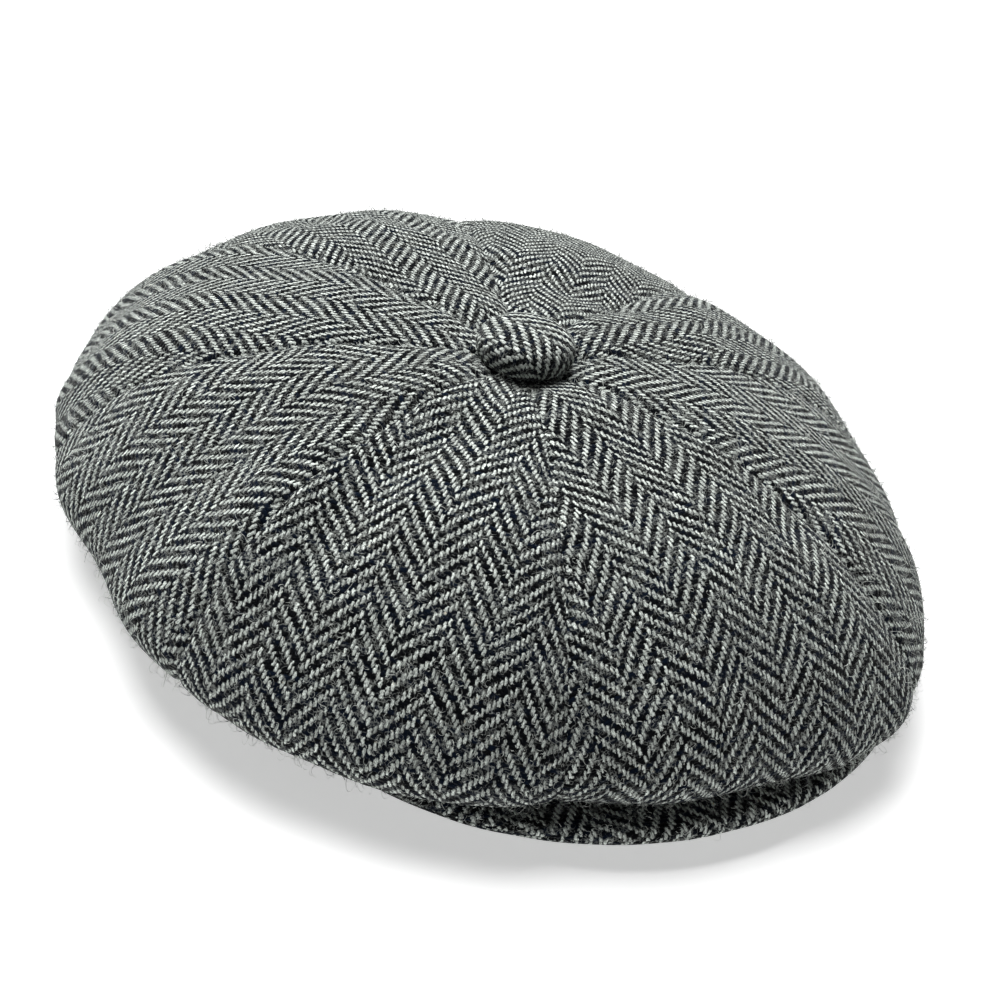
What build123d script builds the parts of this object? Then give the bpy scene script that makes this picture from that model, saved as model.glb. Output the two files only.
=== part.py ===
from build123d import *
import os
from math import asin, cos, radians, sin, sqrt

# Newsboy cap, in millimetres. +Z is up and -Y is the front, where the peak is.
# The origin is the centre of the head opening, on the plane of the headband's lower edge.
# Left and right are the wearer's: left is +X.

# Head opening: the sweatband's inside oval, for a head of about 580 mm round.
HEAD_HALF_WIDTH = 83.0
HEAD_HALF_LENGTH = 101.0

# Cloths and stiffeners, each with its real thickness.
TWEED = 1.6
LINING = 0.7
SWEATBAND = 1.0
INTERLINING = 1.0
BOARD = 2.0
LAYER_GAP = 0.1  # daylight left between two sewn layers

# Headband, a standing strip on the oval.
BAND_HEIGHT = 24.0
SWEATBAND_TURN = 0.6  # how far the sweatband stops short of the headband's two edges

# Crown: a flattened dome on an oval plan, wider than the headband all round.
CROWN_HALF_WIDTH = 139.0
CROWN_FRONT_REACH = 145.0
CROWN_BACK_REACH = 169.0
RIM_HEIGHT = 24.5  # height of the widest line, midway between front and back
RIM_TILT = 6.0  # the front of the rim stands this much higher, the back this much lower
UNDER_DEPTH = 12.0  # from the widest line down to the crown's under edge
UNDER_SPREAD = 0.91  # share of the plan left at the under edge
APEX_HEIGHT = 78.0
APEX_X = -8.0  # the limp top has settled towards the wearer's right
APEX_Y = -16.0
SHOULDER = 3.0  # exponents of the dome's profile: fuller as they grow
RISE_POWER = 1.35
UNDER_STEPS = (1.0, 0.8, 0.45)
RISE_STEPS = (0.0, 0.2, 0.42, 0.62, 0.78, 0.9, 0.965, 0.993)
APEX_SPREAD = 0.05  # the small flat that the button covers
PANELS = 8

# Peak: a dished crescent of board between two layers of tweed.
PEAK_OUTLINE = ((78.0, -26.0), (98.0, -63.0), (73.0, -122.0), (0.0, -152.0))
PEAK_TOP = 16.0  # height of the top cover at its middle
PEAK_MIDDLE_Y = -95.0
PEAK_DISH_RADIUS = 500.0

# Button at the apex: a cloth-covered metal dome sewn through the crown.
BUTTON_RADIUS = 15.0
BUTTON_HEIGHT = 9.0
BUTTON_METAL = 0.6
BUTTON_BACK = 0.8
BUTTON_RIM = 2.4  # straight side of the button below its dome
THREAD_RADIUS = 1.6
THREAD_HOLE = 2.0
THREAD_TAIL = 4.0  # length of the thread shank inside the crown
THREAD_KNOT_RADIUS = 3.0
THREAD_KNOT = 1.2

FAR = 400.0  # longer than the cap in any direction

TAN = Color(0.62, 0.55, 0.43)
GREY = Color(0.35, 0.36, 0.38)
DARK = Color(0.15, 0.16, 0.2)
STEEL = Color(0.7, 0.7, 0.72)

PANEL_NAMES = (
    "front",
    "front_left",
    "left",
    "back_left",
    "back",
    "back_right",
    "right",
    "front_right",
)

crown_middle_y = (CROWN_BACK_REACH - CROWN_FRONT_REACH) / 2
crown_half_length = (CROWN_BACK_REACH + CROWN_FRONT_REACH) / 2
interlining_inset = SWEATBAND + LAYER_GAP
headband_inset = interlining_inset + INTERLINING + LAYER_GAP
headband_outside = headband_inset + TWEED
seam_inset = headband_outside + LAYER_GAP
button_seat = APEX_HEIGHT + LAYER_GAP

os.makedirs("parts", exist_ok=True)


def write(name, builder, color):
    """Labels a finished piece and writes it as its own STEP file."""
    builder.part.label = name
    builder.part.color = color
    export_step(builder.part, f"parts/{name}.step")


def level(spread, height, inset):
    """The crown's oval at one height: spread is its share of the widest oval."""
    middle_x = APEX_X * (1 - spread)
    middle_y = APEX_Y * (1 - spread) + crown_middle_y * spread
    lean = RIM_TILT / crown_half_length * spread
    plane = Plane(origin=(middle_x, middle_y, height), x_dir=(1, 0, 0), z_dir=(0, lean, 1))
    return plane, CROWN_HALF_WIDTH * spread - inset, crown_half_length * spread - inset


def crown_levels(inset):
    """Ovals from the under edge, out round the rim and up to the apex."""
    under = UNDER_DEPTH - inset
    rise = APEX_HEIGHT - inset - RIM_HEIGHT
    for step in UNDER_STEPS:
        spread = 1 - (1 - UNDER_SPREAD) * (1 - sqrt(1 - step**2))
        yield level(spread, RIM_HEIGHT - under * step, inset)
    for step in RISE_STEPS:
        spread = (1 - step**RISE_POWER) ** (1 / SHOULDER)
        yield level(spread, RIM_HEIGHT + rise * step, inset)
    yield level(APEX_SPREAD, RIM_HEIGHT + rise, 0)


def crown_sections(inset):
    """The ovals that a dome inset from the crown's outside is lofted through."""
    sections = []
    for plane, half_width, half_length in crown_levels(inset):
        with BuildSketch(plane) as oval:
            Ellipse(half_width, half_length)
        sections.append(oval.sketch)
    return sections


def crown_shell(outer_inset, thickness):
    """A hollow dome with the head opening and the button's thread hole cut in it."""
    with BuildPart() as shell:
        loft(crown_sections(outer_inset))
        loft(crown_sections(outer_inset + thickness), mode=Mode.SUBTRACT)
        with BuildSketch(Plane.XY):
            Ellipse(HEAD_HALF_WIDTH + seam_inset, HEAD_HALF_LENGTH + seam_inset)
        extrude(amount=RIM_HEIGHT + RIM_TILT, mode=Mode.SUBTRACT)
        with BuildSketch(Plane.XY):
            with Locations((APEX_X, APEX_Y)):
                Circle(THREAD_HOLE)
        extrude(amount=FAR, mode=Mode.SUBTRACT)
    return shell.part


def seam_end(angle):
    """A far point in plan on the straight seam from the apex over the rim.

    The seams meet the rim where rays from the head's centre cut it, the ray at angle 0
    pointing to the front.
    """
    ray_x = sin(radians(angle))
    ray_y = -cos(radians(angle))
    square = (ray_x / CROWN_HALF_WIDTH) ** 2 + (ray_y / crown_half_length) ** 2
    linear = -ray_y * crown_middle_y / crown_half_length**2
    constant = (crown_middle_y / crown_half_length) ** 2 - 1
    reach = (-linear + sqrt(linear**2 - square * constant)) / square
    run = Vector(reach * ray_x - APEX_X, reach * ray_y - APEX_Y).normalized() * FAR
    return run.X + APEX_X, run.Y + APEX_Y


def write_panels(prefix, shell, color):
    """Cuts a dome into its eight gores along the seams."""
    turn = 360 / PANELS
    for index, name in enumerate(PANEL_NAMES):
        middle = index * turn
        with BuildPart() as panel:
            add(shell)
            with BuildSketch(Plane.XY):
                with BuildLine():
                    Polyline(
                        (APEX_X, APEX_Y),
                        seam_end(middle - turn / 2),
                        seam_end(middle + turn / 2),
                        close=True,
                    )
                make_face()
            extrude(amount=APEX_HEIGHT * 2, mode=Mode.INTERSECT)
        write(f"{prefix}_{name}", panel, color)


def oval_strip(inset, thickness, edge_turn):
    """A strip standing on its edge round the head opening."""
    with BuildPart() as strip:
        with BuildSketch(Plane.XY.offset(edge_turn)):
            outside = inset + thickness
            Ellipse(HEAD_HALF_WIDTH + outside, HEAD_HALF_LENGTH + outside)
            Ellipse(HEAD_HALF_WIDTH + inset, HEAD_HALF_LENGTH + inset, mode=Mode.SUBTRACT)
        extrude(amount=BAND_HEIGHT - 2 * edge_turn)
    return strip


def peak_layer(depth, thickness):
    """One dished layer of the peak, its upper face at a depth below the top."""
    centre = (0, PEAK_MIDDLE_Y, PEAK_TOP - PEAK_DISH_RADIUS)
    with BuildPart() as layer:
        with BuildSketch(Plane.XY.offset(-PEAK_TOP)):
            with BuildLine():
                edge = Spline(*PEAK_OUTLINE, *((-x, y) for x, y in PEAK_OUTLINE[-2::-1]))
                Line(edge @ 1, edge @ 0)
            make_face()
            Ellipse(
                HEAD_HALF_WIDTH + seam_inset,
                HEAD_HALF_LENGTH + seam_inset,
                mode=Mode.SUBTRACT,
            )
        extrude(amount=PEAK_TOP * 3)
        with Locations(centre):
            Sphere(PEAK_DISH_RADIUS - depth, mode=Mode.INTERSECT)
            Sphere(PEAK_DISH_RADIUS - depth - thickness, mode=Mode.SUBTRACT)
    return layer


def button_profile(inset):
    """Half the section of a dome standing on the crown, inset from the button's outside."""
    radius = BUTTON_RADIUS - inset
    top = BUTTON_HEIGHT - inset
    ball = (radius**2 + (top - BUTTON_RIM) ** 2) / (2 * (top - BUTTON_RIM))
    half_turn = asin(radius / ball) / 2
    plane = Plane(origin=(APEX_X, APEX_Y, button_seat), x_dir=(1, 0, 0), z_dir=(0, -1, 0))
    with BuildSketch(plane) as profile:
        with BuildLine():
            dome = ThreePointArc(
                (radius, BUTTON_RIM),
                (ball * sin(half_turn), top - ball * (1 - cos(half_turn))),
                (0, top),
            )
            Polyline(dome @ 1, (0, 0), (radius, 0), dome @ 0)
        make_face()
    return profile.sketch


def button_layer(inset, thickness):
    """A domed skin, open underneath."""
    centre_line = Axis((APEX_X, APEX_Y, 0), (0, 0, 1))
    with BuildPart() as layer:
        revolve(button_profile(inset), axis=centre_line)
        revolve(button_profile(inset + thickness), axis=centre_line, mode=Mode.SUBTRACT)
    return layer


# Crown and lining, eight gores each.
write_panels("crown_panel", crown_shell(0, TWEED), GREY)
write_panels("lining_panel", crown_shell(TWEED + LAYER_GAP, LINING), TAN)

# Headband, from the inside out: sweatband, interlining, tweed.
write("sweatband", oval_strip(0, SWEATBAND, SWEATBAND_TURN), TAN)
write("headband_interlining", oval_strip(interlining_inset, INTERLINING, SWEATBAND_TURN), STEEL)
write("headband", oval_strip(headband_inset, TWEED, 0), DARK)

# Peak, from the top down: tweed, board, tweed.
board_depth = TWEED + LAYER_GAP
under_depth = board_depth + BOARD + LAYER_GAP
write("peak_top_cover", peak_layer(0, TWEED), DARK)
write("peak_board", peak_layer(board_depth, BOARD), STEEL)
write("peak_under_cover", peak_layer(under_depth, TWEED), DARK)

# Button: tweed over a metal dome that is closed by a disc.
metal_inset = TWEED + LAYER_GAP
disc_inset = metal_inset + BUTTON_METAL + LAYER_GAP
write("button_cover", button_layer(0, TWEED), DARK)
write("button_shell", button_layer(metal_inset, BUTTON_METAL), STEEL)
with BuildPart() as button_back:
    with BuildSketch(Plane.XY.offset(button_seat)):
        with Locations((APEX_X, APEX_Y)):
            Circle(BUTTON_RADIUS - disc_inset)
    extrude(amount=BUTTON_BACK)
write("button_back", button_back, STEEL)

# The shank of thread that holds the button, knotted inside the crown.
with BuildPart() as button_thread:
    with BuildSketch(Plane.XY.offset(button_seat - THREAD_TAIL)):
        with Locations((APEX_X, APEX_Y)):
            Circle(THREAD_RADIUS)
    extrude(amount=THREAD_TAIL)
    with BuildSketch(Plane.XY.offset(button_seat - THREAD_TAIL)):
        with Locations((APEX_X, APEX_Y)):
            Circle(THREAD_KNOT_RADIUS)
    extrude(amount=-THREAD_KNOT)
write("button_thread", button_thread, DARK)
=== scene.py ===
"""The looks of a tweed newsboy cap, built round its CAD frame. Metres, +Z up, front at -Y."""

import bpy
import numpy as np
from mathutils import Matrix, Vector
from mathutils.geometry import convex_hull_2d


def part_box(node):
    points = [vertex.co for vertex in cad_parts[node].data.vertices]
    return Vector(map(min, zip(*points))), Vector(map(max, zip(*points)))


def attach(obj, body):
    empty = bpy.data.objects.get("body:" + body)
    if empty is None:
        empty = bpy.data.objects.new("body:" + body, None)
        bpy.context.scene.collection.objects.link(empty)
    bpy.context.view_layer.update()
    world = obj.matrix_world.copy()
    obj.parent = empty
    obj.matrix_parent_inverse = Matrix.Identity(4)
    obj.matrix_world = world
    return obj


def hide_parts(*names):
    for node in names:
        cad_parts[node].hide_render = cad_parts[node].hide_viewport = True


MM = 0.001

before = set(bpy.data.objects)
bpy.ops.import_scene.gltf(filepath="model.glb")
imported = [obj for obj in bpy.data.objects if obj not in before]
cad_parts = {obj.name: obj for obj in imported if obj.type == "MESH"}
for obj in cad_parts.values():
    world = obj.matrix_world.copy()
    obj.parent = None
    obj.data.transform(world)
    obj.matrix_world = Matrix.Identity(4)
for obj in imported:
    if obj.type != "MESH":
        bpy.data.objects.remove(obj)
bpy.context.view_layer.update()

# ---------------------------------------------------------------- sizes, read from the frame
SIDES = ("front", "front_left", "left", "back_left", "back", "back_right", "right", "front_right")
GORE_TURN = 2 * np.pi / len(SIDES)
RIM_HALF_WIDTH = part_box("crown_panel_left")[1][0]
RIM_FRONT = -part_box("crown_panel_front")[0][1]
RIM_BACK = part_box("crown_panel_back")[1][1]
RIM_MIDDLE_Y = (RIM_BACK - RIM_FRONT) / 2
RIM_HALF_LENGTH = (RIM_BACK + RIM_FRONT) / 2
BUTTON_LOW, BUTTON_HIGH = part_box("button_cover")
APEX = np.array([(BUTTON_LOW[0] + BUTTON_HIGH[0]) / 2, (BUTTON_LOW[1] + BUTTON_HIGH[1]) / 2, BUTTON_LOW[2]])
BUTTON_RADIUS = (BUTTON_HIGH[0] - BUTTON_LOW[0]) / 2
BAND_OVAL = np.array([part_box("headband")[1][0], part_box("headband")[1][1]])
BAND_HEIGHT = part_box("headband")[1][2]
SWEATBAND_LOW, SWEATBAND_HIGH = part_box("sweatband")
PEAK_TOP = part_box("peak_top_cover")[1][2]

# ---------------------------------------------------------------- how the soft crown sits
RIM_HEIGHT = 21.5 * MM
RIM_TILT = 2.0 * MM  # the front of the rim stands up by this, the back down
RIM_LEAN = 2.0 * MM  # the wearer's right side stands up by this, the left down
RIM_SHIFT = np.array([0.5, -1.0]) * MM
RIM_TAPER = 0.08  # how much narrower the slumped crown is at its back than at its middle
# Where the limp rim stands out or is drawn in: angle and width in degrees, 0 being the
# front and positive the wearer's left, then how far out and how far up in millimetres.
RIM_SWELLS = (
    (-150, 12, 2, 0),
    (-90, 14, -5, 0),
    (-66, 12, 4, 0),
    (-40, 12, 1, -2),
    (16, 16, 8, -2),
    (58, 22, -10, 3.5),
    (136, 18, 4, 3),
)
UNDER_DEPTH = 13.0 * MM  # how far the cloth turns down below the rim
UNDER_SPREAD = 0.91  # the share of the rim's plan that is left there
SHOULDER = 3.0  # higher turns over more squarely at the rim
RISE_POWER = 1.35  # higher stands fuller between the rim and the apex
BAND_SEAM_HEIGHT = 15.0 * MM  # where the crown meets the headband
TWEED = 1.3 * MM
PEAK_CLOTH = 1.2 * MM
LINING = 0.4 * MM
LINING_INSET = 4.2 * MM  # from the crown's surface in to the lining's
LINING_REACH = 0.97  # the share of the crown's lines that the lining follows
FLOOR_GAP = 0.2 * MM  # what lies this low is kept clear of the floor
GORE_COLUMNS = 65
GORE_ROWS = 150


def quick_or(full):
    return full


# ---------------------------------------------------------------- meshes from arrays
def make_mesh(name, points, faces, uv=None):
    """A smooth mesh object from arrays of points and faces, with one UV pair for each point."""
    mesh = bpy.data.meshes.new(name)
    mesh.from_pydata(points.tolist(), [], np.asarray(faces).tolist())
    mesh.update()
    if uv is not None:
        layer = mesh.uv_layers.new(name="cut")
        corners = np.empty(len(mesh.loops), np.int32)
        mesh.loops.foreach_get("vertex_index", corners)
        layer.data.foreach_set("uv", uv[corners].astype(np.float32).ravel())
    mesh.polygons.foreach_set("use_smooth", [True] * len(mesh.polygons))
    piece = bpy.data.objects.new(name, mesh)
    bpy.context.scene.collection.objects.link(piece)
    return piece


def grid_faces(rows, columns, closed=False):
    """Quads over a grid of points; closed joins the last column to the first."""
    row = np.arange(rows - 1)[:, None]
    column = np.arange(columns if closed else columns - 1)[None, :]
    after = (column + 1) % columns
    corners = (row * columns + column, (row + 1) * columns + column,
               (row + 1) * columns + after, row * columns + after)
    return np.stack([np.broadcast_to(c, (rows - 1, column.shape[1])).ravel() for c in corners], 1)


def grid_piece(name, points, uv, closed=False):
    """A mesh over a (rows, columns, 3) grid of points."""
    rows, columns = points.shape[:2]
    faces = grid_faces(rows, columns, closed)
    return make_mesh(name, points.reshape(-1, 3), faces, uv.reshape(-1, 2))


def thicken(piece, thickness):
    """Gives a cloth surface its thickness, on its inner side."""
    solid = piece.modifiers.new("cloth thickness", "SOLIDIFY")
    solid.thickness = thickness
    solid.offset = -1.0
    solid.use_even_offset = False


def grid_normals(points, closed):
    """Unit normals of a grid of points, out of the cap."""
    if closed:
        across = np.roll(points, -1, 1) - np.roll(points, 1, 1)
    else:
        across = np.gradient(points, axis=1)
    down = np.gradient(points, axis=0)
    normals = np.cross(down, across)
    return normals / np.maximum(np.linalg.norm(normals, axis=2, keepdims=True), 1e-12)


def arc_lengths(points, axis):
    """The running length along one axis of a grid of points, from 0."""
    steps = np.linalg.norm(np.diff(points, axis=axis), axis=2)
    zero = np.zeros_like(np.take(steps, [0], axis=axis))
    return np.concatenate([zero, np.cumsum(steps, axis=axis)], axis=axis)


def cell_areas(points):
    """The area of each cell of a grid of points."""
    down = points[1:, :-1] - points[:-1, :-1]
    across = points[:-1, 1:] - points[:-1, :-1]
    return np.linalg.norm(np.cross(down, across), axis=2)


def bump(distance, width):
    """1 at distance 0, falling smoothly to 0 past the width."""
    return np.exp(-((distance / width) ** 2))


# ---------------------------------------------------------------- the crown's shape
def rim_point(angle):
    """Where the ray at an angle from the head's centre cuts the rim in plan; 0 is the front."""
    ray = np.stack([np.sin(angle), -np.cos(angle)], -1)
    square = (ray[..., 0] / RIM_HALF_WIDTH) ** 2 + (ray[..., 1] / RIM_HALF_LENGTH) ** 2
    linear = -ray[..., 1] * RIM_MIDDLE_Y / RIM_HALF_LENGTH**2
    constant = (RIM_MIDDLE_Y / RIM_HALF_LENGTH) ** 2 - 1
    reach = (-linear + np.sqrt(linear**2 - square * constant)) / square
    point = ray * reach[..., None]
    point[..., 0] *= 1 - RIM_TAPER * (point[..., 1] - RIM_MIDDLE_Y) / RIM_HALF_LENGTH
    return point


def band_point(angle):
    """The point of the headband's outside oval on the ray at an angle from the front."""
    ray = np.stack([np.sin(angle), -np.cos(angle)], -1)
    return ray / np.sqrt(((ray / BAND_OVAL) ** 2).sum(-1, keepdims=True))


def rim_swell(angles):
    """How far the limp rim stands out and up at each angle."""
    out, up = np.zeros_like(angles), np.zeros_like(angles)
    for middle, width, outward, upward in RIM_SWELLS:
        away = np.degrees(np.angle(np.exp(1j * (angles - np.radians(middle)))))
        out += outward * MM * bump(away, width)
        up += upward * MM * bump(away, width)
    return out, up


def crown_lines(angles):
    """The crown's lines from the apex over the rim to the headband, (steps, angles, 3)."""
    rim = rim_point(angles)
    out, up = rim_swell(angles)
    rim_height = (RIM_HEIGHT - RIM_TILT * (rim[:, 1] - RIM_MIDDLE_Y) / RIM_HALF_LENGTH
                  - RIM_LEAN * rim[:, 0] / RIM_HALF_WIDTH + up)
    rim = rim * (1 + out / np.linalg.norm(rim, axis=1))[:, None] + RIM_SHIFT
    spread = np.sin(np.linspace(0.02, 1, 240) * np.pi / 2)[:, None]
    rise = np.maximum(1 - spread**SHOULDER, 0) ** (1 / RISE_POWER)
    top = np.empty((len(spread), len(angles), 3))
    top[..., :2] = APEX[:2] * (1 - spread[..., None]) + rim * spread[..., None]
    top[..., 2] = rim_height + (APEX[2] - rim_height) * rise
    turn = np.linspace(0, np.pi / 2, 30)[1:, None]
    under = np.empty((len(turn), len(angles), 3))
    under[..., :2] = rim * (1 - (1 - UNDER_SPREAD) * (1 - np.cos(turn)))[..., None]
    under[..., 2] = rim_height - UNDER_DEPTH * np.sin(turn)
    share = np.linspace(0, 1, 40)[1:, None, None]
    seam = np.empty((1, len(angles), 3))
    seam[..., :2] = band_point(angles)
    seam[..., 2] = BAND_SEAM_HEIGHT
    back = under[-1:] * (1 - share) + seam * share
    return np.concatenate([top, under, back])


def even_rows(lines, rows):
    """The same lines with rows evenly spaced along each."""
    length = arc_lengths(lines, 0)
    share = np.linspace(0, 1, rows)
    even = np.empty((rows, lines.shape[1], 3))
    for column in range(lines.shape[1]):
        at = share * length[-1, column]
        for axis in range(3):
            even[:, column, axis] = np.interp(at, length[:, column], lines[:, column, axis])
    return even


def gore_shares(columns):
    """Where a gore's columns lie between its seams, from -1 to 1, closer near the seams."""
    return np.sin(np.linspace(-np.pi / 2, np.pi / 2, columns))


class Crown:
    """The whole crown as one closed grid, from which gores and lining are cut."""

    def __init__(self, columns, rows):
        shares = gore_shares(columns)[:-1]
        middles = np.arange(len(SIDES)) * GORE_TURN
        angles = (middles[:, None] + shares[None, :] * GORE_TURN / 2).ravel()
        self.columns = columns
        self.base = even_rows(crown_lines(angles), rows)
        self.normals = grid_normals(self.base, True)
        across = np.linalg.norm(self.base - np.roll(self.base, 1, 1), axis=2)
        per = columns - 1
        self.width = np.empty(self.base.shape[:2])
        self.to_seam = np.empty(self.base.shape[:2])
        self.share = np.tile(np.linspace(0, 1, rows)[:, None], (1, self.base.shape[1]))
        for side in range(len(SIDES)):
            cut = slice(side * per, (side + 1) * per)
            steps = across[:, [(side * per + c) % across.shape[1] for c in range(1, per + 1)]]
            run = np.concatenate([np.zeros((rows, 1)), np.cumsum(steps, 1)], 1)
            self.width[:, cut] = run[:, -1:]
            self.to_seam[:, cut] = np.minimum(run, run[:, -1:] - run)[:, :-1]
        self.lengths = arc_lengths(self.base, 0)

    def gore(self, grid, side):
        """The columns of one gore, both its seams included."""
        per = self.columns - 1
        total = grid.shape[1]
        return grid[:, [(side * per + c) % total for c in range(per + 1)]]


# The wavelengths along X and Y in millimetres, the phase, and the weight of each wave.
SLOW_WAVES = (
    (95, 60, 0.4, 0.4),
    (-70, 105, 2.1, 0.35),
    (48, -66, 4.4, 0.25),
    (-38, -41, 1.3, 0.18),
    (29, 33, 5.2, 0.12),
)


def slow_waves(x, y):
    """Slow irregular unevenness of limp cloth, about -1 to 1."""
    total = np.zeros_like(x)
    for wave_x, wave_y, phase, weight in SLOW_WAVES:
        total += weight * np.sin(2 * np.pi * (x / (wave_x * MM) + y / (wave_y * MM)) + phase)
    return total


# Dents and swells of the crown: centre in plan, along and across sizes, the direction
# of the long side in degrees from +X, and depth; all in millimetres.
FOLDS = (
    ((-66, -48), 55, 9, 20, -3.5),  # valley along the seam on the wearer's right
    ((-70, -30), 50, 12, 20, 2.2),  # the ridge behind it
    ((46, 22), 36, 14, 10, -3.0),  # hollow beside the button
    ((20, 90), 45, 40, 0, 1.0),  # the back stands up
)


def fold_height(x, y):
    """The dents and swells at points in plan, in metres."""
    total = np.zeros_like(x)
    for (middle_x, middle_y), along, across, degrees, height in FOLDS:
        away_x, away_y = x - middle_x * MM, y - middle_y * MM
        turn = np.radians(degrees)
        run = (away_x * np.cos(turn) + away_y * np.sin(turn)) / (along * MM)
        side = (away_y * np.cos(turn) - away_x * np.sin(turn)) / (across * MM)
        total += height * MM * np.exp(-(run**2) - side**2)
    return total


# How the cloth stands off the plain crown.
SEAM_DIP = 0.8 * MM
GORE_BELLY = 0.8 * MM
UNEVENNESS = 1.1 * MM
RING_RISE, RING_RADIUS, RING_WIDTH = 1.2 * MM, 32 * MM, 12 * MM  # the swell round the button
WELL_DEPTH, WELL_WIDTH = 3.2 * MM, 17 * MM  # the hollow under the button
PUCKER_RISE, PUCKER_FROM_SEAM, PUCKER_WIDTH = 0.13 * MM, 2.5 * MM, 3.5 * MM
GROOVE_DEPTH, GROOVE_WIDTH = 1.0 * MM, 1.5 * MM  # the seam itself


def crown_relief(crown):
    """How far the cloth stands off the plain crown along its normals."""
    x, y = crown.base[..., 0], crown.base[..., 1]
    from_apex = np.hypot(x - APEX[0], y - APEX[1])
    fade = np.clip((from_apex - 6 * MM) / (30 * MM), 0, 1) * np.clip((1 - crown.share) * 14, 0, 1)
    broad = np.minimum(9 * MM, 0.22 * crown.width)
    relief = -SEAM_DIP * bump(crown.to_seam, broad) * fade
    relief += GORE_BELLY * np.sin(np.pi * crown.to_seam / np.maximum(crown.width, MM)) * fade
    relief += UNEVENNESS * slow_waves(x, y) * fade
    relief += fold_height(x, y) * (crown.share < 0.8)
    relief += RING_RISE * bump(from_apex - RING_RADIUS, RING_WIDTH) - WELL_DEPTH * bump(from_apex, WELL_WIDTH)
    along = crown.lengths / MM
    pucker = np.sin(along / 1.45 + 1.7 * np.sin(along / 11)) * (0.6 + 0.4 * np.sin(along / 23))
    relief += PUCKER_RISE * pucker * bump(crown.to_seam - PUCKER_FROM_SEAM, PUCKER_WIDTH) * fade
    groove = np.minimum(GROOVE_WIDTH, 0.08 * crown.width)
    relief -= GROOVE_DEPTH * bump(crown.to_seam, groove) * np.clip((from_apex - 4 * MM) / (12 * MM), 0, 1)
    return relief


def cut_coordinates(points):
    """Where each point of a gore lies on the flat cut cloth: across and along its middle line."""
    columns = points.shape[1]
    middle = columns // 2
    run = arc_lengths(points, 1)
    across = run - run[:, middle:middle + 1]
    along = arc_lengths(points, 0)
    along = along + np.linalg.norm(points[0, middle] - APEX)
    fan = np.clip(across / along, -1.2, 1.2)
    return np.stack([along * np.sin(fan), along * np.cos(fan)], -1)


def flat_size(uv):
    """The smallest rectangle of cloth that a piece is cut from."""
    return tuple(float(side) for side in np.ptp(uv.reshape(-1, 2), axis=0))


def declare_sheet(points, uv):
    """Works out the flat size and area that a piece of cloth was cut to; nothing is done with them."""
    width, length = flat_size(uv)
    area = min(float(cell_areas(points).sum()), width * length)


# ---------------------------------------------------------------- materials
class Wire:
    """A number in a material's node tree, with the arithmetic that makes more of them."""

    def __init__(self, tree, socket):
        self.tree = tree
        self.socket = socket

    def math(self, operation, *others):
        node = self.tree.nodes.new("ShaderNodeMath")
        node.operation = operation
        for slot, value in zip(node.inputs, (self, *others)):
            if isinstance(value, Wire):
                self.tree.links.new(value.socket, slot)
            else:
                slot.default_value = value
        return Wire(self.tree, node.outputs[0])

    def __add__(self, other):
        return self.math("ADD", other)

    def __sub__(self, other):
        return self.math("SUBTRACT", other)

    def __mul__(self, other):
        return self.math("MULTIPLY", other)

    def __truediv__(self, other):
        return self.math("DIVIDE", other)

    def floor(self):
        return self.math("FLOOR")

    def fract(self):
        return self.math("FRACT")

    def abs(self):
        return self.math("ABSOLUTE")

    def root(self):
        return self.math("MAXIMUM", 0.0).math("SQRT")

    def highest(self, other):
        return self.math("MAXIMUM", other)

    def wrap(self, low, high):
        return self.math("WRAP", high, low)

    def less(self, limit):
        return self.math("LESS_THAN", limit)

    def other_way(self):
        """1 minus this number."""
        return (self * -1.0) + 1.0

    def ramp(self, low, high, out_low=0.0, out_high=1.0):
        """A smooth step from one value to another between two limits."""
        node = self.tree.nodes.new("ShaderNodeMapRange")
        node.interpolation_type = "SMOOTHSTEP"
        self.tree.links.new(self.socket, node.inputs[0])
        for slot, value in zip(node.inputs[1:5], (low, high, out_low, out_high)):
            slot.default_value = value
        return Wire(self.tree, node.outputs[0])


def vector_of(tree, x, y, z=0.0):
    """A vector socket from three numbers, each plain or a wire."""
    node = tree.nodes.new("ShaderNodeCombineXYZ")
    for slot, value in zip(node.inputs, (x, y, z)):
        if isinstance(value, Wire):
            tree.links.new(value.socket, slot)
        else:
            slot.default_value = value
    return node.outputs[0]


def noise(tree, vector, scale, detail=2.0, roughness=0.5):
    """Smooth noise, 0 to 1, over a vector socket."""
    node = tree.nodes.new("ShaderNodeTexNoise")
    tree.links.new(vector, node.inputs["Vector"])
    node.inputs["Scale"].default_value = scale
    node.inputs["Detail"].default_value = detail
    node.inputs["Roughness"].default_value = roughness
    return Wire(tree, node.outputs[0])


def chance(tree, vector):
    """One random number, 0 to 1, for each whole-number place."""
    node = tree.nodes.new("ShaderNodeTexWhiteNoise")
    node.noise_dimensions = "3D"
    tree.links.new(vector, node.inputs["Vector"])
    return Wire(tree, node.outputs["Value"])


def blend(tree, share, first, second, kind="MIX"):
    """Mixes two colours, each a colour or a socket."""
    node = tree.nodes.new("ShaderNodeMix")
    node.data_type = "RGBA"
    node.blend_type = kind
    for slot, value in zip((node.inputs[0], node.inputs[6], node.inputs[7]), (share, first, second)):
        if isinstance(value, Wire):
            tree.links.new(value.socket, slot)
        elif hasattr(value, "is_linked"):
            tree.links.new(value, slot)
        elif hasattr(value, "__len__"):
            slot.default_value = (*value, 1.0)
        else:
            slot.default_value = value
    return node.outputs[2]


def new_material(name, roughness, specular=0.3, metallic=0.0):
    """An empty material and its Principled shader."""
    material = bpy.data.materials.new(name)
    material.use_nodes = True
    shader = material.node_tree.nodes["Principled BSDF"]
    shader.inputs["Roughness"].default_value = roughness
    shader.inputs["Specular IOR Level"].default_value = specular
    shader.inputs["Metallic"].default_value = metallic
    return material, material.node_tree, shader


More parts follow.
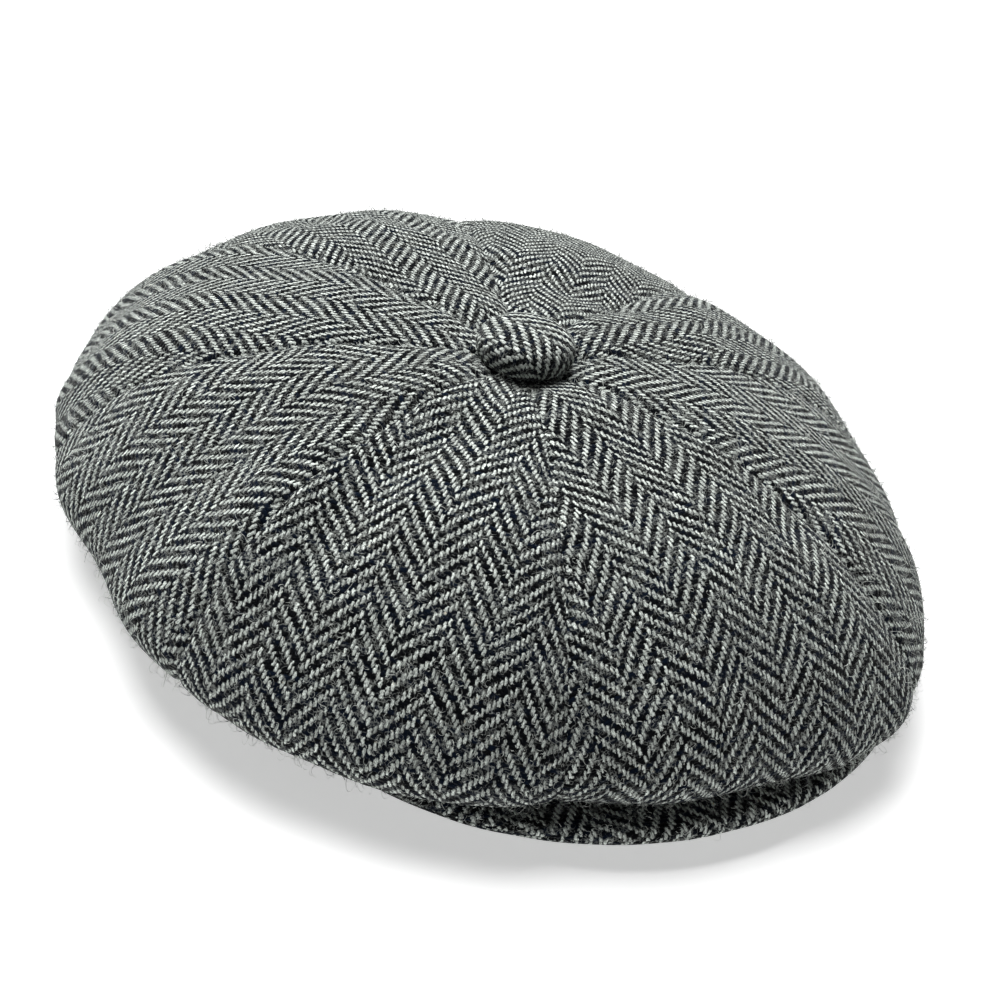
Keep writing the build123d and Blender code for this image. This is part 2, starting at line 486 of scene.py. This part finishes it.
def add_bump(tree, shader, height, distance, strength=1.0):
    """Lets a height in millimetres shade the surface."""
    node = tree.nodes.new("ShaderNodeBump")
    node.inputs["Distance"].default_value = distance
    node.inputs["Strength"].default_value = strength
    tree.links.new(height.socket, node.inputs["Height"])
    tree.links.new(node.outputs[0], shader.inputs["Normal"])


def cut_position(tree):
    """The place on the cut cloth in millimetres, from the cut coordinates."""
    source = tree.nodes.new("ShaderNodeUVMap")
    source.uv_map = "cut"
    parts = tree.nodes.new("ShaderNodeSeparateXYZ")
    tree.links.new(source.outputs[0], parts.inputs[0])
    return Wire(tree, parts.outputs[0]) / MM, Wire(tree, parts.outputs[1]) / MM


END_PITCH = 1.1  # between warp ends, mm
PICK_PITCH = 1.3  # between weft picks, mm
COLUMN_ENDS = 10  # warp ends in one herringbone column
LIGHT_YARN = (0.74, 0.795, 0.745)
CREAM_YARN = (0.8, 0.74, 0.6)
DARK_YARN = (0.003, 0.0035, 0.0045)
NAVY_YARN = (0.004, 0.01, 0.024)


def tweed_material(name, seed, wear_and_highlight=0.0):
    """Herringbone tweed: light warp over a black and navy weft, in a 2/2 twill.

    The last argument lightens the dark yarns and widens the light yarns' share: partly wool rubbed up, partly
    painted highlight where the button's dome faces the light.
    """
    material, tree, shader = new_material(name, roughness=0.95, specular=0.03)
    shader.inputs["Sheen Weight"].default_value = 0.14
    shader.inputs["Sheen Roughness"].default_value = 0.25
    x, y = cut_position(tree)
    place = vector_of(tree, x, y, seed * 7.3)
    # Slow drift of the yarns, and their fine unevenness.
    x_drift = (noise(tree, place, 0.045, 1.0) - 0.5) * 3.4
    x_drift += (noise(tree, place, 0.5, 3.0, 0.75) - 0.5) * 1.5
    shifted = vector_of(tree, x, y, seed * 7.3 + 40.0)
    y_drift = (noise(tree, shifted, 0.05, 1.0) - 0.5) * 3.4
    y_drift += (noise(tree, shifted, 0.5, 3.0, 0.75) - 0.5) * 1.7
    whole_columns = 40
    ends = (x + x_drift) / END_PITCH + (whole_columns + 0.5) * COLUMN_ENDS
    picks = (y + y_drift) / PICK_PITCH + 4.0 * whole_columns
    column = (ends / COLUMN_ENDS).floor()
    odd = (column * 0.5).fract() * 2.0
    within = ends - column * COLUMN_ENDS
    end = within.floor()
    pick = picks.floor()
    # The warp lies on top for two picks out of four, one pick later at each end.
    lag = end + odd * ((end * -2.0) + (COLUMN_ENDS + 1.0))
    warp_run = ((picks - lag) / 4.0).fract() * 4.0
    warp_up = warp_run.less(2.0)
    warp_along = warp_run - 1.0
    warp_across = within - end - 0.5
    warp_round = (warp_across * warp_across * -4.0 + 1.0).root()
    warp_swell = (warp_along * warp_along * warp_along * warp_along * -1.0 + 1.0).root()
    warp_height = warp_round * warp_swell * warp_up
    # The weft lies on top over two ends in the rest.
    weft_middle = pick - 2.0 + odd * ((pick * -2.0) + (COLUMN_ENDS + 6.0))
    weft_along = (within - weft_middle).wrap(-2.0, 2.0)
    weft_across = picks - pick - 0.5
    weft_round = (weft_across * weft_across * -4.0 + 1.0).root()
    weft_swell = (weft_along * weft_along * weft_along * weft_along * -1.0 + 1.0).root()
    weft_height = weft_round * weft_swell * warp_up.other_way() * 0.8
    # Fibres along each yarn, and the yarns' own light and dark.
    warp_fibre = noise(tree, vector_of(tree, x * 5.0, y * 1.3, seed), 1.0, 3.0, 0.6)
    blot = noise(tree, vector_of(tree, x * 1.5, y * 0.9, seed + 33.0), 1.0, 2.0, 0.6)
    weft_fibre = noise(tree, vector_of(tree, x * 1.3, y * 5.0, seed + 9.0), 1.0, 3.0, 0.6)
    warp_luck = chance(tree, vector_of(tree, end + column * COLUMN_ENDS, seed, 3.0))
    weft_luck = chance(tree, vector_of(tree, pick, seed, 8.0))
    stretch = noise(tree, vector_of(tree, x * 1.1, y * 0.16, seed + 5.0), 1.0, 2.0)
    warp_tone = (warp_luck - 0.5) * 0.5 + (stretch - 0.5) * 2.0 + (warp_fibre - 0.5) * 2.6 + 0.9
    weft_tone = weft_luck * 0.5 + weft_fibre
    fleck = noise(tree, vector_of(tree, x * 0.8, y * 0.8, seed + 21.0), 1.0, 2.0).ramp(0.66, 0.76)
    light = blend(tree, fleck, LIGHT_YARN, CREAM_YARN)
    shade = blend(tree, 1.0, light, tone_colour(tree, warp_tone), "MULTIPLY")
    dark = blend(tree, weft_tone.ramp(0.7, 1.15), DARK_YARN, NAVY_YARN)
    # Light fuzz over the dark yarns; the button's extra lightening here is partly painted highlight.
    haze = noise(tree, vector_of(tree, x, y, seed + 50.0), 2.6, 4.0, 0.7).ramp(0.52, 0.8)
    dark = blend(tree, haze * (0.1 + wear_and_highlight), dark, (0.26, 0.28, 0.27))
    ragged = warp_height + (warp_fibre - 0.5) * 1.6 + (blot - 0.5) * 1.5
    # On the button the light yarns also cover more: partly wear, partly painted highlight.
    on_top = ragged.ramp(0.42 - 0.3 * wear_and_highlight, 0.98 - 0.5 * wear_and_highlight)
    colour = blend(tree, on_top, dark, shade)
    hairs = stray_hairs(tree, x, y, seed)
    colour = blend(tree, hairs * 0.5, colour, (0.5, 0.53, 0.5))
    tree.links.new(colour, shader.inputs["Base Color"])
    height = warp_height.highest(weft_height) + warp_fibre * 0.35 + haze * 0.25 + hairs * 0.3
    add_bump(tree, shader, height, 0.6 * MM, 1.0)
    return material


def tone_colour(tree, tone):
    """A grey from a number, as a colour socket."""
    node = tree.nodes.new("ShaderNodeCombineColor")
    for slot in node.inputs:
        tree.links.new(tone.socket, slot)
    return node.outputs[0]


def stray_hairs(tree, x, y, seed):
    """Thin curly lines where smooth noise crosses its middle, 0 to 1."""
    lines = None
    for turn, scale, width in ((0.0, 0.38, 0.03), (31.0, 0.55, 0.045), (67.0, 0.8, 0.06)):
        field = noise(tree, vector_of(tree, x, y, seed + turn), scale, 1.5)
        line = (field - 0.5).abs().ramp(0.0, width, 1.0, 0.0)
        patch = noise(tree, vector_of(tree, x, y, seed + turn + 11.0), 0.3, 1.0).ramp(0.5, 0.62)
        line = line * patch
        lines = line if lines is None else lines.highest(line)
    return lines


def satin_material():
    """Dark satin lining with a fine weave and a soft sheen."""
    material, tree, shader = new_material("lining satin", roughness=0.42, specular=0.45)
    shader.inputs["Sheen Weight"].default_value = 0.15
    x, y = cut_position(tree)
    threads = noise(tree, vector_of(tree, x * 14.0, y * 1.5), 1.0, 2.0)
    slow = noise(tree, vector_of(tree, x, y, 3.0), 0.06, 2.0)
    tone = threads * 0.15 + slow * 0.4 + 0.6
    colour = blend(tree, 1.0, (0.05, 0.055, 0.075), tone_colour(tree, tone), "MULTIPLY")
    tree.links.new(colour, shader.inputs["Base Color"])
    puckers = noise(tree, vector_of(tree, x * 0.1, y * 0.03, 5.0), 1.0, 1.0)
    add_bump(tree, shader, puckers * 2.0 + threads * 0.04, 1.0 * MM, 0.6)
    return material


def ribbon_material():
    """Black cotton grosgrain for the sweatband: fine ribs across its length."""
    material, tree, shader = new_material("sweatband cotton", roughness=0.75, specular=0.2)
    shader.inputs["Sheen Weight"].default_value = 0.2
    x, y = cut_position(tree)
    rib = ((x / 0.9).fract() - 0.5).abs() * 2.0
    fibre = noise(tree, vector_of(tree, x * 3.0, y * 9.0), 1.0, 2.0)
    tone = rib * 0.5 + fibre * 0.6 + 0.3
    colour = blend(tree, 1.0, (0.035, 0.037, 0.045), tone_colour(tree, tone), "MULTIPLY")
    tree.links.new(colour, shader.inputs["Base Color"])
    add_bump(tree, shader, rib.other_way() + fibre * 0.2, 0.25 * MM, 0.8)
    return material


def object_place(tree):
    """The place on the piece in millimetres."""
    source = tree.nodes.new("ShaderNodeTexCoord")
    parts = tree.nodes.new("ShaderNodeSeparateXYZ")
    tree.links.new(source.outputs["Object"], parts.inputs[0])
    return [Wire(tree, output) / MM for output in parts.outputs]


def plain_material(name, colour, roughness, grain, depth, metallic=0.0, specular=0.3):
    """A plain stuff with a fine uneven grain; grain is its scale per millimetre."""
    material, tree, shader = new_material(name, roughness, specular, metallic)
    x, y, z = object_place(tree)
    grains = noise(tree, vector_of(tree, x, y, z), grain, 4.0, 0.6)
    tone = grains * 0.4 + 0.8
    mixed = blend(tree, 1.0, colour, tone_colour(tree, tone), "MULTIPLY")
    tree.links.new(mixed, shader.inputs["Base Color"])
    add_bump(tree, shader, grains, depth * MM, 0.6)
    return material


# ---------------------------------------------------------------- the crown and its lining
def build_crown(tweeds):
    """The eight tweed gores, as limp cloth with its seams drawn in."""
    crown = Crown(quick_or(GORE_COLUMNS), quick_or(GORE_ROWS))
    cloth = crown.base + crown.normals * crown_relief(crown)[..., None]
    for side, name in enumerate(SIDES):
        points = crown.gore(cloth, side)
        uv = cut_coordinates(crown.gore(crown.base, side))
        uv[..., 0] += (side * 3.7 % 5.0) * MM  # each gore is cut a little elsewhere in the weave
        piece = grid_piece(f"crown_cloth_{name}", points, uv)
        thicken(piece, TWEED)
        piece.data.materials.append(tweeds[side % len(tweeds)])
        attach(piece, "root")
        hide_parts(f"crown_panel_{name}")
        declare_sheet(points, uv)
    return crown, cloth


def build_lining(crown, satin):
    """The eight lining gores, the crown's own shape a little further in."""
    cloth = crown.base + crown.normals * (crown_relief(crown) - LINING_INSET)[..., None]
    rows = int(cloth.shape[0] * LINING_REACH)
    for side, name in enumerate(SIDES):
        points = crown.gore(cloth, side)[:rows, ::2]
        uv = cut_coordinates(points)
        piece = grid_piece(f"lining_cloth_{name}", points, uv)
        thicken(piece, LINING)
        piece.data.materials.append(satin)
        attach(piece, "root")
        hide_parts(f"lining_panel_{name}")
        declare_sheet(points, uv)


# ---------------------------------------------------------------- headband and sweatband
def ring_piece(name, profile, half_width, half_length, columns=240):
    """A strip round an oval: profile is (outward, height) pairs, outward from the oval."""
    turn = np.linspace(0, 2 * np.pi, columns + 1)
    oval = np.stack([half_width * np.sin(turn), -half_length * np.cos(turn)], -1)
    outward = np.stack([np.sin(turn) / half_width, -np.cos(turn) / half_length], -1)
    outward /= np.linalg.norm(outward, axis=1, keepdims=True)
    points = np.empty((len(profile), columns + 1, 3))
    for row, (out, height) in enumerate(profile):
        points[row, :, :2] = oval + outward * out
        points[row, :, 2] = height
    uv = np.stack([arc_lengths(points, 1), arc_lengths(points, 0)], -1)
    return grid_piece(name, points, uv), points, uv


def build_band(tweed, ribbon, thread):
    """The headband turned in under its stiffening, and the sweatband inside it."""
    edge = 0.9 * MM
    tucked = [(-3.0 * edge, 0.5 * edge), (-2.6 * edge, 0.2 * edge), (-1.8 * edge, 0.0)]
    turned = [(edge * (np.sin(turn) - 1), edge * (1 - np.cos(turn))) for turn in np.radians((0, 30, 60, 90))]
    wall = [(0.0, height) for height in np.linspace(2 * edge, BAND_HEIGHT, 14)]
    band, points, uv = ring_piece("headband_cloth", [*tucked, *turned, *wall], *BAND_OVAL)
    band.data.materials.append(tweed)
    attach(band, "root")
    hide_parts("headband")
    declare_sheet(points, uv)

    half_width, half_length = SWEATBAND_HIGH[0], SWEATBAND_HIGH[1]
    low, high = SWEATBAND_LOW[2], SWEATBAND_HIGH[2]
    profile = [(-1.0 * MM - 0.25 * MM * np.sin(share * np.pi), low + (high - low) * share)
               for share in np.linspace(0, 1, 12)]
    sweat, points, uv = ring_piece("sweatband_ribbon", [(-0.3 * MM, low), *profile, (-0.3 * MM, high)],
                                   half_width, half_length)
    sweat.data.materials.append(ribbon)
    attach(sweat, "root")
    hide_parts("sweatband")
    declare_sheet(points, uv)
    build_stitches(half_width - 1.15 * MM, half_length - 1.15 * MM, low + 2.2 * MM, thread)


def build_stitches(half_width, half_length, height, thread):
    """The row of stitches along the sweatband's lower edge."""
    count, steps, rounds, radius = 190, 4, 6, 0.28 * MM
    points, faces = [], []
    for stitch in range(count):
        first = 2 * np.pi * stitch / count
        turns = first + np.linspace(0.12, 0.88, steps + 1) * 2 * np.pi / count
        for step, turn in enumerate(turns):
            lift = np.sin(step / steps * np.pi)
            middle = np.array([half_width * np.sin(turn), -half_length * np.cos(turn), height])
            inward = -np.array([np.sin(turn), -np.cos(turn), 0])
            middle = middle + inward * (lift - 0.4) * 0.35 * MM
            for side in range(rounds):
                angle = 2 * np.pi * side / rounds
                points.append(middle + radius * (inward * np.cos(angle) + np.array([0, 0, np.sin(angle)])))
        base = stitch * (steps + 1) * rounds
        for step in range(steps):
            for side in range(rounds):
                after = (side + 1) % rounds
                faces.append([base + step * rounds + side, base + step * rounds + after,
                              base + (step + 1) * rounds + after, base + (step + 1) * rounds + side])
    piece = make_mesh("sweatband_stitches", np.array(points), faces)
    piece.data.materials.append(thread)
    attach(piece, "root")


# ---------------------------------------------------------------- the peak
PEAK_MIDDLE_Y = -95.0 * MM
PEAK_DISH_RADIUS = 500.0 * MM
PEAK_THICKNESS = 5.6 * MM
PEAK_EDGE = 1.3 * MM  # the covers stand this far beyond the board
PEAK_SWELL = 4.5 * MM  # and this much further at the wearer's left
PEAK_SWELL_TURN = 52  # degrees from the front


def peak_outline(count):
    """The board's outer edge in plan, from the wearer's right to the left."""
    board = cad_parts["peak_board"]
    plan = [(board.matrix_world @ vertex.co).to_2d() for vertex in board.data.vertices]
    hull = np.array([plan[index] for index in convex_hull_2d(plan)])
    turns = np.arctan2(hull[:, 0], -hull[:, 1])
    hull = hull[np.argsort(turns)]
    run = np.concatenate([[0], np.cumsum(np.linalg.norm(np.diff(hull, axis=0), axis=1))])
    even = np.linspace(0, run[-1], count)
    return np.stack([np.interp(even, run, hull[:, 0]), np.interp(even, run, hull[:, 1])], -1)


def peak_height(x, y):
    """The dished top of the peak."""
    return PEAK_TOP - PEAK_DISH_RADIUS + np.sqrt(PEAK_DISH_RADIUS**2 - x**2 - (y - PEAK_MIDDLE_Y) ** 2)


def build_peak(tweed, under_tweed):
    """The peak's two tweed covers, which meet round its edge. Gives the top one's grid of points."""
    edge = peak_outline(181)
    last = edge[-1] / BAND_OVAL
    oval_end = np.arctan2(last[0], -last[1])
    oval_turns = np.linspace(-oval_end, oval_end, len(edge))
    root = np.stack([BAND_OVAL[0] * np.sin(oval_turns), -BAND_OVAL[1] * np.cos(oval_turns)], -1)
    along = np.gradient(edge, axis=0)
    outward = np.stack([along[:, 1], -along[:, 0]], -1)
    outward *= np.sign((outward * edge).sum(1, keepdims=True))
    outward /= np.linalg.norm(outward, axis=1, keepdims=True)
    roll = PEAK_THICKNESS / 2
    turns = np.degrees(np.arctan2(edge[:, 0], -edge[:, 1]))
    margin = PEAK_EDGE + PEAK_SWELL * bump(turns - PEAK_SWELL_TURN, 16)
    shoulder = edge + outward * (margin[:, None] - roll)
    rows = [root * (1 - share) + shoulder * share for share in np.linspace(0, 1, 26)]
    for name, node, sign, material in (("peak_cloth_top", "peak_top_cover", 1, tweed),
                                       ("peak_cloth_under", "peak_under_cover", -1, under_tweed)):
        points = []
        for row in rows:
            height = peak_height(row[:, 0], row[:, 1]) + (0 if sign > 0 else -PEAK_THICKNESS)
            points.append(np.column_stack([row, height]))
        middle = peak_height(shoulder[:, 0], shoulder[:, 1]) - roll
        for angle in np.radians(np.linspace(78, 0, 8)):
            row = shoulder + outward * roll * np.cos(angle)
            points.append(np.column_stack([row, middle + sign * roll * np.sin(angle)]))
        points = np.array(points)
        ripple = 0.25 * MM * slow_waves(points[..., 0] * 2, points[..., 1] * 2)
        points[..., 2] = np.maximum(points[..., 2] + ripple * sign, FLOOR_GAP)
        depth = arc_lengths(points, 0)
        uv = np.stack([points[..., 0], -root[:, 1] + depth], -1)
        if sign < 0:
            points, uv = points[:, ::-1], uv[:, ::-1]
        piece = grid_piece(name, points, uv)
        thicken(piece, PEAK_CLOTH)
        piece.data.materials.append(material)
        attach(piece, "root")
        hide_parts(node)
        declare_sheet(points, uv)
        if sign > 0:
            top = points
    return top


# ---------------------------------------------------------------- the button
def build_button(tweed):
    """The cloth drawn over the button's dome and gathered under its rim."""
    columns, dome_rows, side_rows = 97, 32, 8
    turn = np.linspace(0, 2 * np.pi, columns)
    low, height = BUTTON_LOW[2], BUTTON_HIGH[2] - BUTTON_LOW[2]
    side = 2.8 * MM
    top = height + 1.2 * MM
    points = []
    for share in np.linspace(0.01, 1, dome_rows):
        angle = share * np.pi / 2
        rise = (top - side) * np.cos(angle) ** 0.8
        points.append((BUTTON_RADIUS * np.sin(angle) ** 0.82, low + side + rise))
    for share in np.linspace(0, 1, side_rows + 1)[1:]:
        angle = share * np.pi / 2
        gathered = 2.6 * MM * (1 - np.cos(angle))
        points.append((BUTTON_RADIUS - gathered, low + side - side * 1.5 * np.sin(angle)))
    radius, level = np.array(points).T[:, :, None]
    gather = np.clip((radius / BUTTON_RADIUS - 0.55) / 0.45, 0, 1) ** 2
    pleat = 1 + 0.012 * gather * np.sin(turn * 17 + 1.1 * np.sin(turn * 3))
    grid = np.stack([radius * pleat * np.sin(turn) + APEX[0], -radius * pleat * np.cos(turn) + APEX[1],
                     level + 0 * turn], -1)
    reach = arc_lengths(grid, 0) + radius[0]
    lay = np.radians(22)
    uv = np.stack([reach * np.sin(turn - lay), -reach * np.cos(turn - lay)], -1)
    uv[..., 0] += 6.6 * MM  # where the herringbone's columns fall on the button
    piece = grid_piece("button_cloth", grid, uv)
    piece.data.materials.append(tweed)
    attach(piece, "root")
    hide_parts("button_cover")
    declare_sheet(grid, uv)


# ---------------------------------------------------------------- stray wool
def wool_fibres(name, points, normals, count, material, seed):
    """Curly fibres standing off a grid of cloth points."""
    random = np.random.default_rng(seed)
    areas = cell_areas(points)
    picks = random.choice(areas.size, count, p=areas.ravel() / areas.sum())
    row, column = np.divmod(picks, points.shape[1] - 1)
    start = points[row, column]
    out = normals[row, column]
    steps, sides, radius = 6, 3, 0.09 * MM
    side = np.cross(out, random.normal(size=(count, 3)))
    side /= np.linalg.norm(side, axis=1, keepdims=True)
    other = np.cross(out, side)
    length = random.uniform(1.2, 4.6, count) * MM
    stand = random.uniform(0.15, 0.9, count) ** 1.5
    curl = random.uniform(1.5, 6.0, count) * random.choice([-1, 1], count)
    share = np.linspace(0, 1, steps + 1)
    bend = curl[:, None] * share
    forward = (np.sin(bend) / curl[:, None]) * length[:, None]
    sideways = ((1 - np.cos(bend)) / curl[:, None]) * length[:, None]
    upward = length[:, None] * stand[:, None] * np.sin(share * np.pi * random.uniform(0.5, 1.0, (count, 1)))
    path = (start[:, None] + side[:, None] * forward[..., None] + other[:, None] * sideways[..., None]
            + out[:, None] * (upward[..., None] + 0.1 * MM))
    path[..., 2] = np.maximum(path[..., 2], FLOOR_GAP)
    ring = np.arange(sides) * 2 * np.pi / sides
    width = radius * (1.15 - share)[None, :, None, None]
    around = other[:, None, None] * np.cos(ring)[:, None] + out[:, None, None] * np.sin(ring)[:, None]
    tube = path[:, :, None] + around * width
    base = np.arange(count)[:, None, None] * (steps + 1) * sides
    step = np.arange(steps)[None, :, None] * sides
    here = np.arange(sides)[None, None, :]
    after = (here + 1) % sides
    quads = np.stack([base + step + here, base + step + after,
                      base + step + sides + after, base + step + sides + here], -1).reshape(-1, 4)
    piece = make_mesh(name, tube.reshape(-1, 3), quads)
    piece.data.materials.append(material)
    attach(piece, "root")


# ---------------------------------------------------------------- floor, lights and camera
def build_studio():
    """A pale floor, a faint even sky and one large softbox above and behind."""
    bpy.ops.mesh.primitive_plane_add(size=40)
    floor = bpy.context.object
    floor.name = "studio_floor"
    material, tree, shader = new_material("pale floor", roughness=0.6, specular=0.2)
    shader.inputs["Base Color"].default_value = (0.8, 0.8, 0.8, 1)
    shader.inputs["Emission Color"].default_value = (1, 1, 1, 1)
    shader.inputs["Emission Strength"].default_value = 0.48
    floor.data.materials.append(material)
    world = bpy.data.worlds.new("studio")
    world.use_nodes = True
    world.node_tree.nodes["Background"].inputs["Color"].default_value = (1, 1, 1, 1)
    world.node_tree.nodes["Background"].inputs["Strength"].default_value = 0.08
    bpy.context.scene.world = world
    place = Vector((0.1, 0.75, 1.5))
    light = bpy.data.lights.new("softbox", "AREA")
    light.size = 1.4
    light.energy = 54
    lamp = bpy.data.objects.new("softbox", light)
    lamp.location = place
    lamp.rotation_euler = (Vector((0, 0, 0.04)) - place).to_track_quat("-Z", "Y").to_euler()
    bpy.context.scene.collection.objects.link(lamp)


def build_camera():
    """The photograph's viewpoint: from the wearer's front right, above, and slightly rolled."""
    azimuth, elevation, roll = np.radians((-36.5, 33.8, -10.0))
    distance = 506 * MM
    aside, above = 6.7 * MM, -21.0 * MM
    looked_at = np.array([-8.5, 0, 40]) * MM
    flat = np.cos(elevation)
    back = np.array([np.sin(azimuth) * flat, -np.cos(azimuth) * flat, np.sin(elevation)])
    level = np.array([np.cos(azimuth), np.sin(azimuth), 0])
    upright = np.cross(back, level)
    right = np.cos(roll) * level - np.sin(roll) * upright
    up = np.sin(roll) * level + np.cos(roll) * upright
    place = looked_at + right * aside + up * above + back * distance
    camera = bpy.data.cameras.new("camera")
    camera.sensor_width = 36
    camera.lens = 56.7
    camera.clip_start = 0.01
    seat = bpy.data.objects.new("camera", camera)
    seat.matrix_world = Matrix(np.vstack([np.column_stack([right, up, back, place]), [0, 0, 0, 1]]))
    bpy.context.scene.collection.objects.link(seat)
    bpy.context.scene.camera = seat


def finish_cad_pieces(thread):
    """Gives the pieces that keep their CAD shape their own stuffs."""
    stuffs = {
        "headband_interlining": plain_material("buckram", (0.72, 0.7, 0.64), 0.9, 2.0, 0.2),
        "peak_board": plain_material("peak board", (0.82, 0.82, 0.8), 0.5, 0.6, 0.1),
        "button_thread": thread,
        "button_shell": plain_material("pressed metal", (0.75, 0.76, 0.78), 0.3, 0.8, 0.02, 1.0),
        "button_back": plain_material("pressed disc", (0.7, 0.71, 0.73), 0.35, 0.8, 0.02, 1.0),
    }
    for node, material in stuffs.items():
        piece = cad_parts[node]
        piece.data.materials.clear()
        piece.data.materials.append(material)


def scatter_wool(cloth, peak_top):
    """Stray light and dark fibres over the crown and the peak."""
    light_wool = plain_material("light wool fibre", (0.66, 0.69, 0.65), 0.9, 1.0, 0.0, specular=0.1)
    dark_wool = plain_material("dark wool fibre", (0.12, 0.13, 0.14), 0.9, 1.0, 0.0, specular=0.1)
    closed = np.concatenate([cloth, cloth[:, :1]], 1)
    normals = grid_normals(closed, False)
    for name, count, wool, seed in (("crown_stray_wool_light", 5400, light_wool, 11),
                                    ("crown_stray_wool_pale", 5400, light_wool, 12),
                                    ("crown_stray_wool_dark", 4500, dark_wool, 13)):
        wool_fibres(name, closed, normals, quick_or(count), wool, seed)
    count = quick_or(1200)
    wool_fibres("peak_stray_wool", peak_top, grid_normals(peak_top, False), count, light_wool, 14)


def main():
    build_studio()
    build_camera()
    bpy.context.scene.view_settings.view_transform = "Standard"
    tweeds = [tweed_material(f"herringbone tweed {n + 1}", 3.0 + 17.0 * n) for n in range(4)]
    thread = plain_material("thread", (0.03, 0.03, 0.04), 0.7, 4.0, 0.1)
    crown, cloth = build_crown(tweeds)
    build_lining(crown, satin_material())
    build_band(tweeds[2], ribbon_material(), thread)
    peak_top = build_peak(tweeds[1], tweeds[3])
    # The button's tweed is a lighter copy of the cloth: partly rubbed-up wool, partly painted highlight on
    # its up-facing dome.
    build_button(tweed_material("herringbone tweed button", 71.0, wear_and_highlight=0.5))
    scatter_wool(cloth, peak_top)
    finish_cad_pieces(thread)


main()
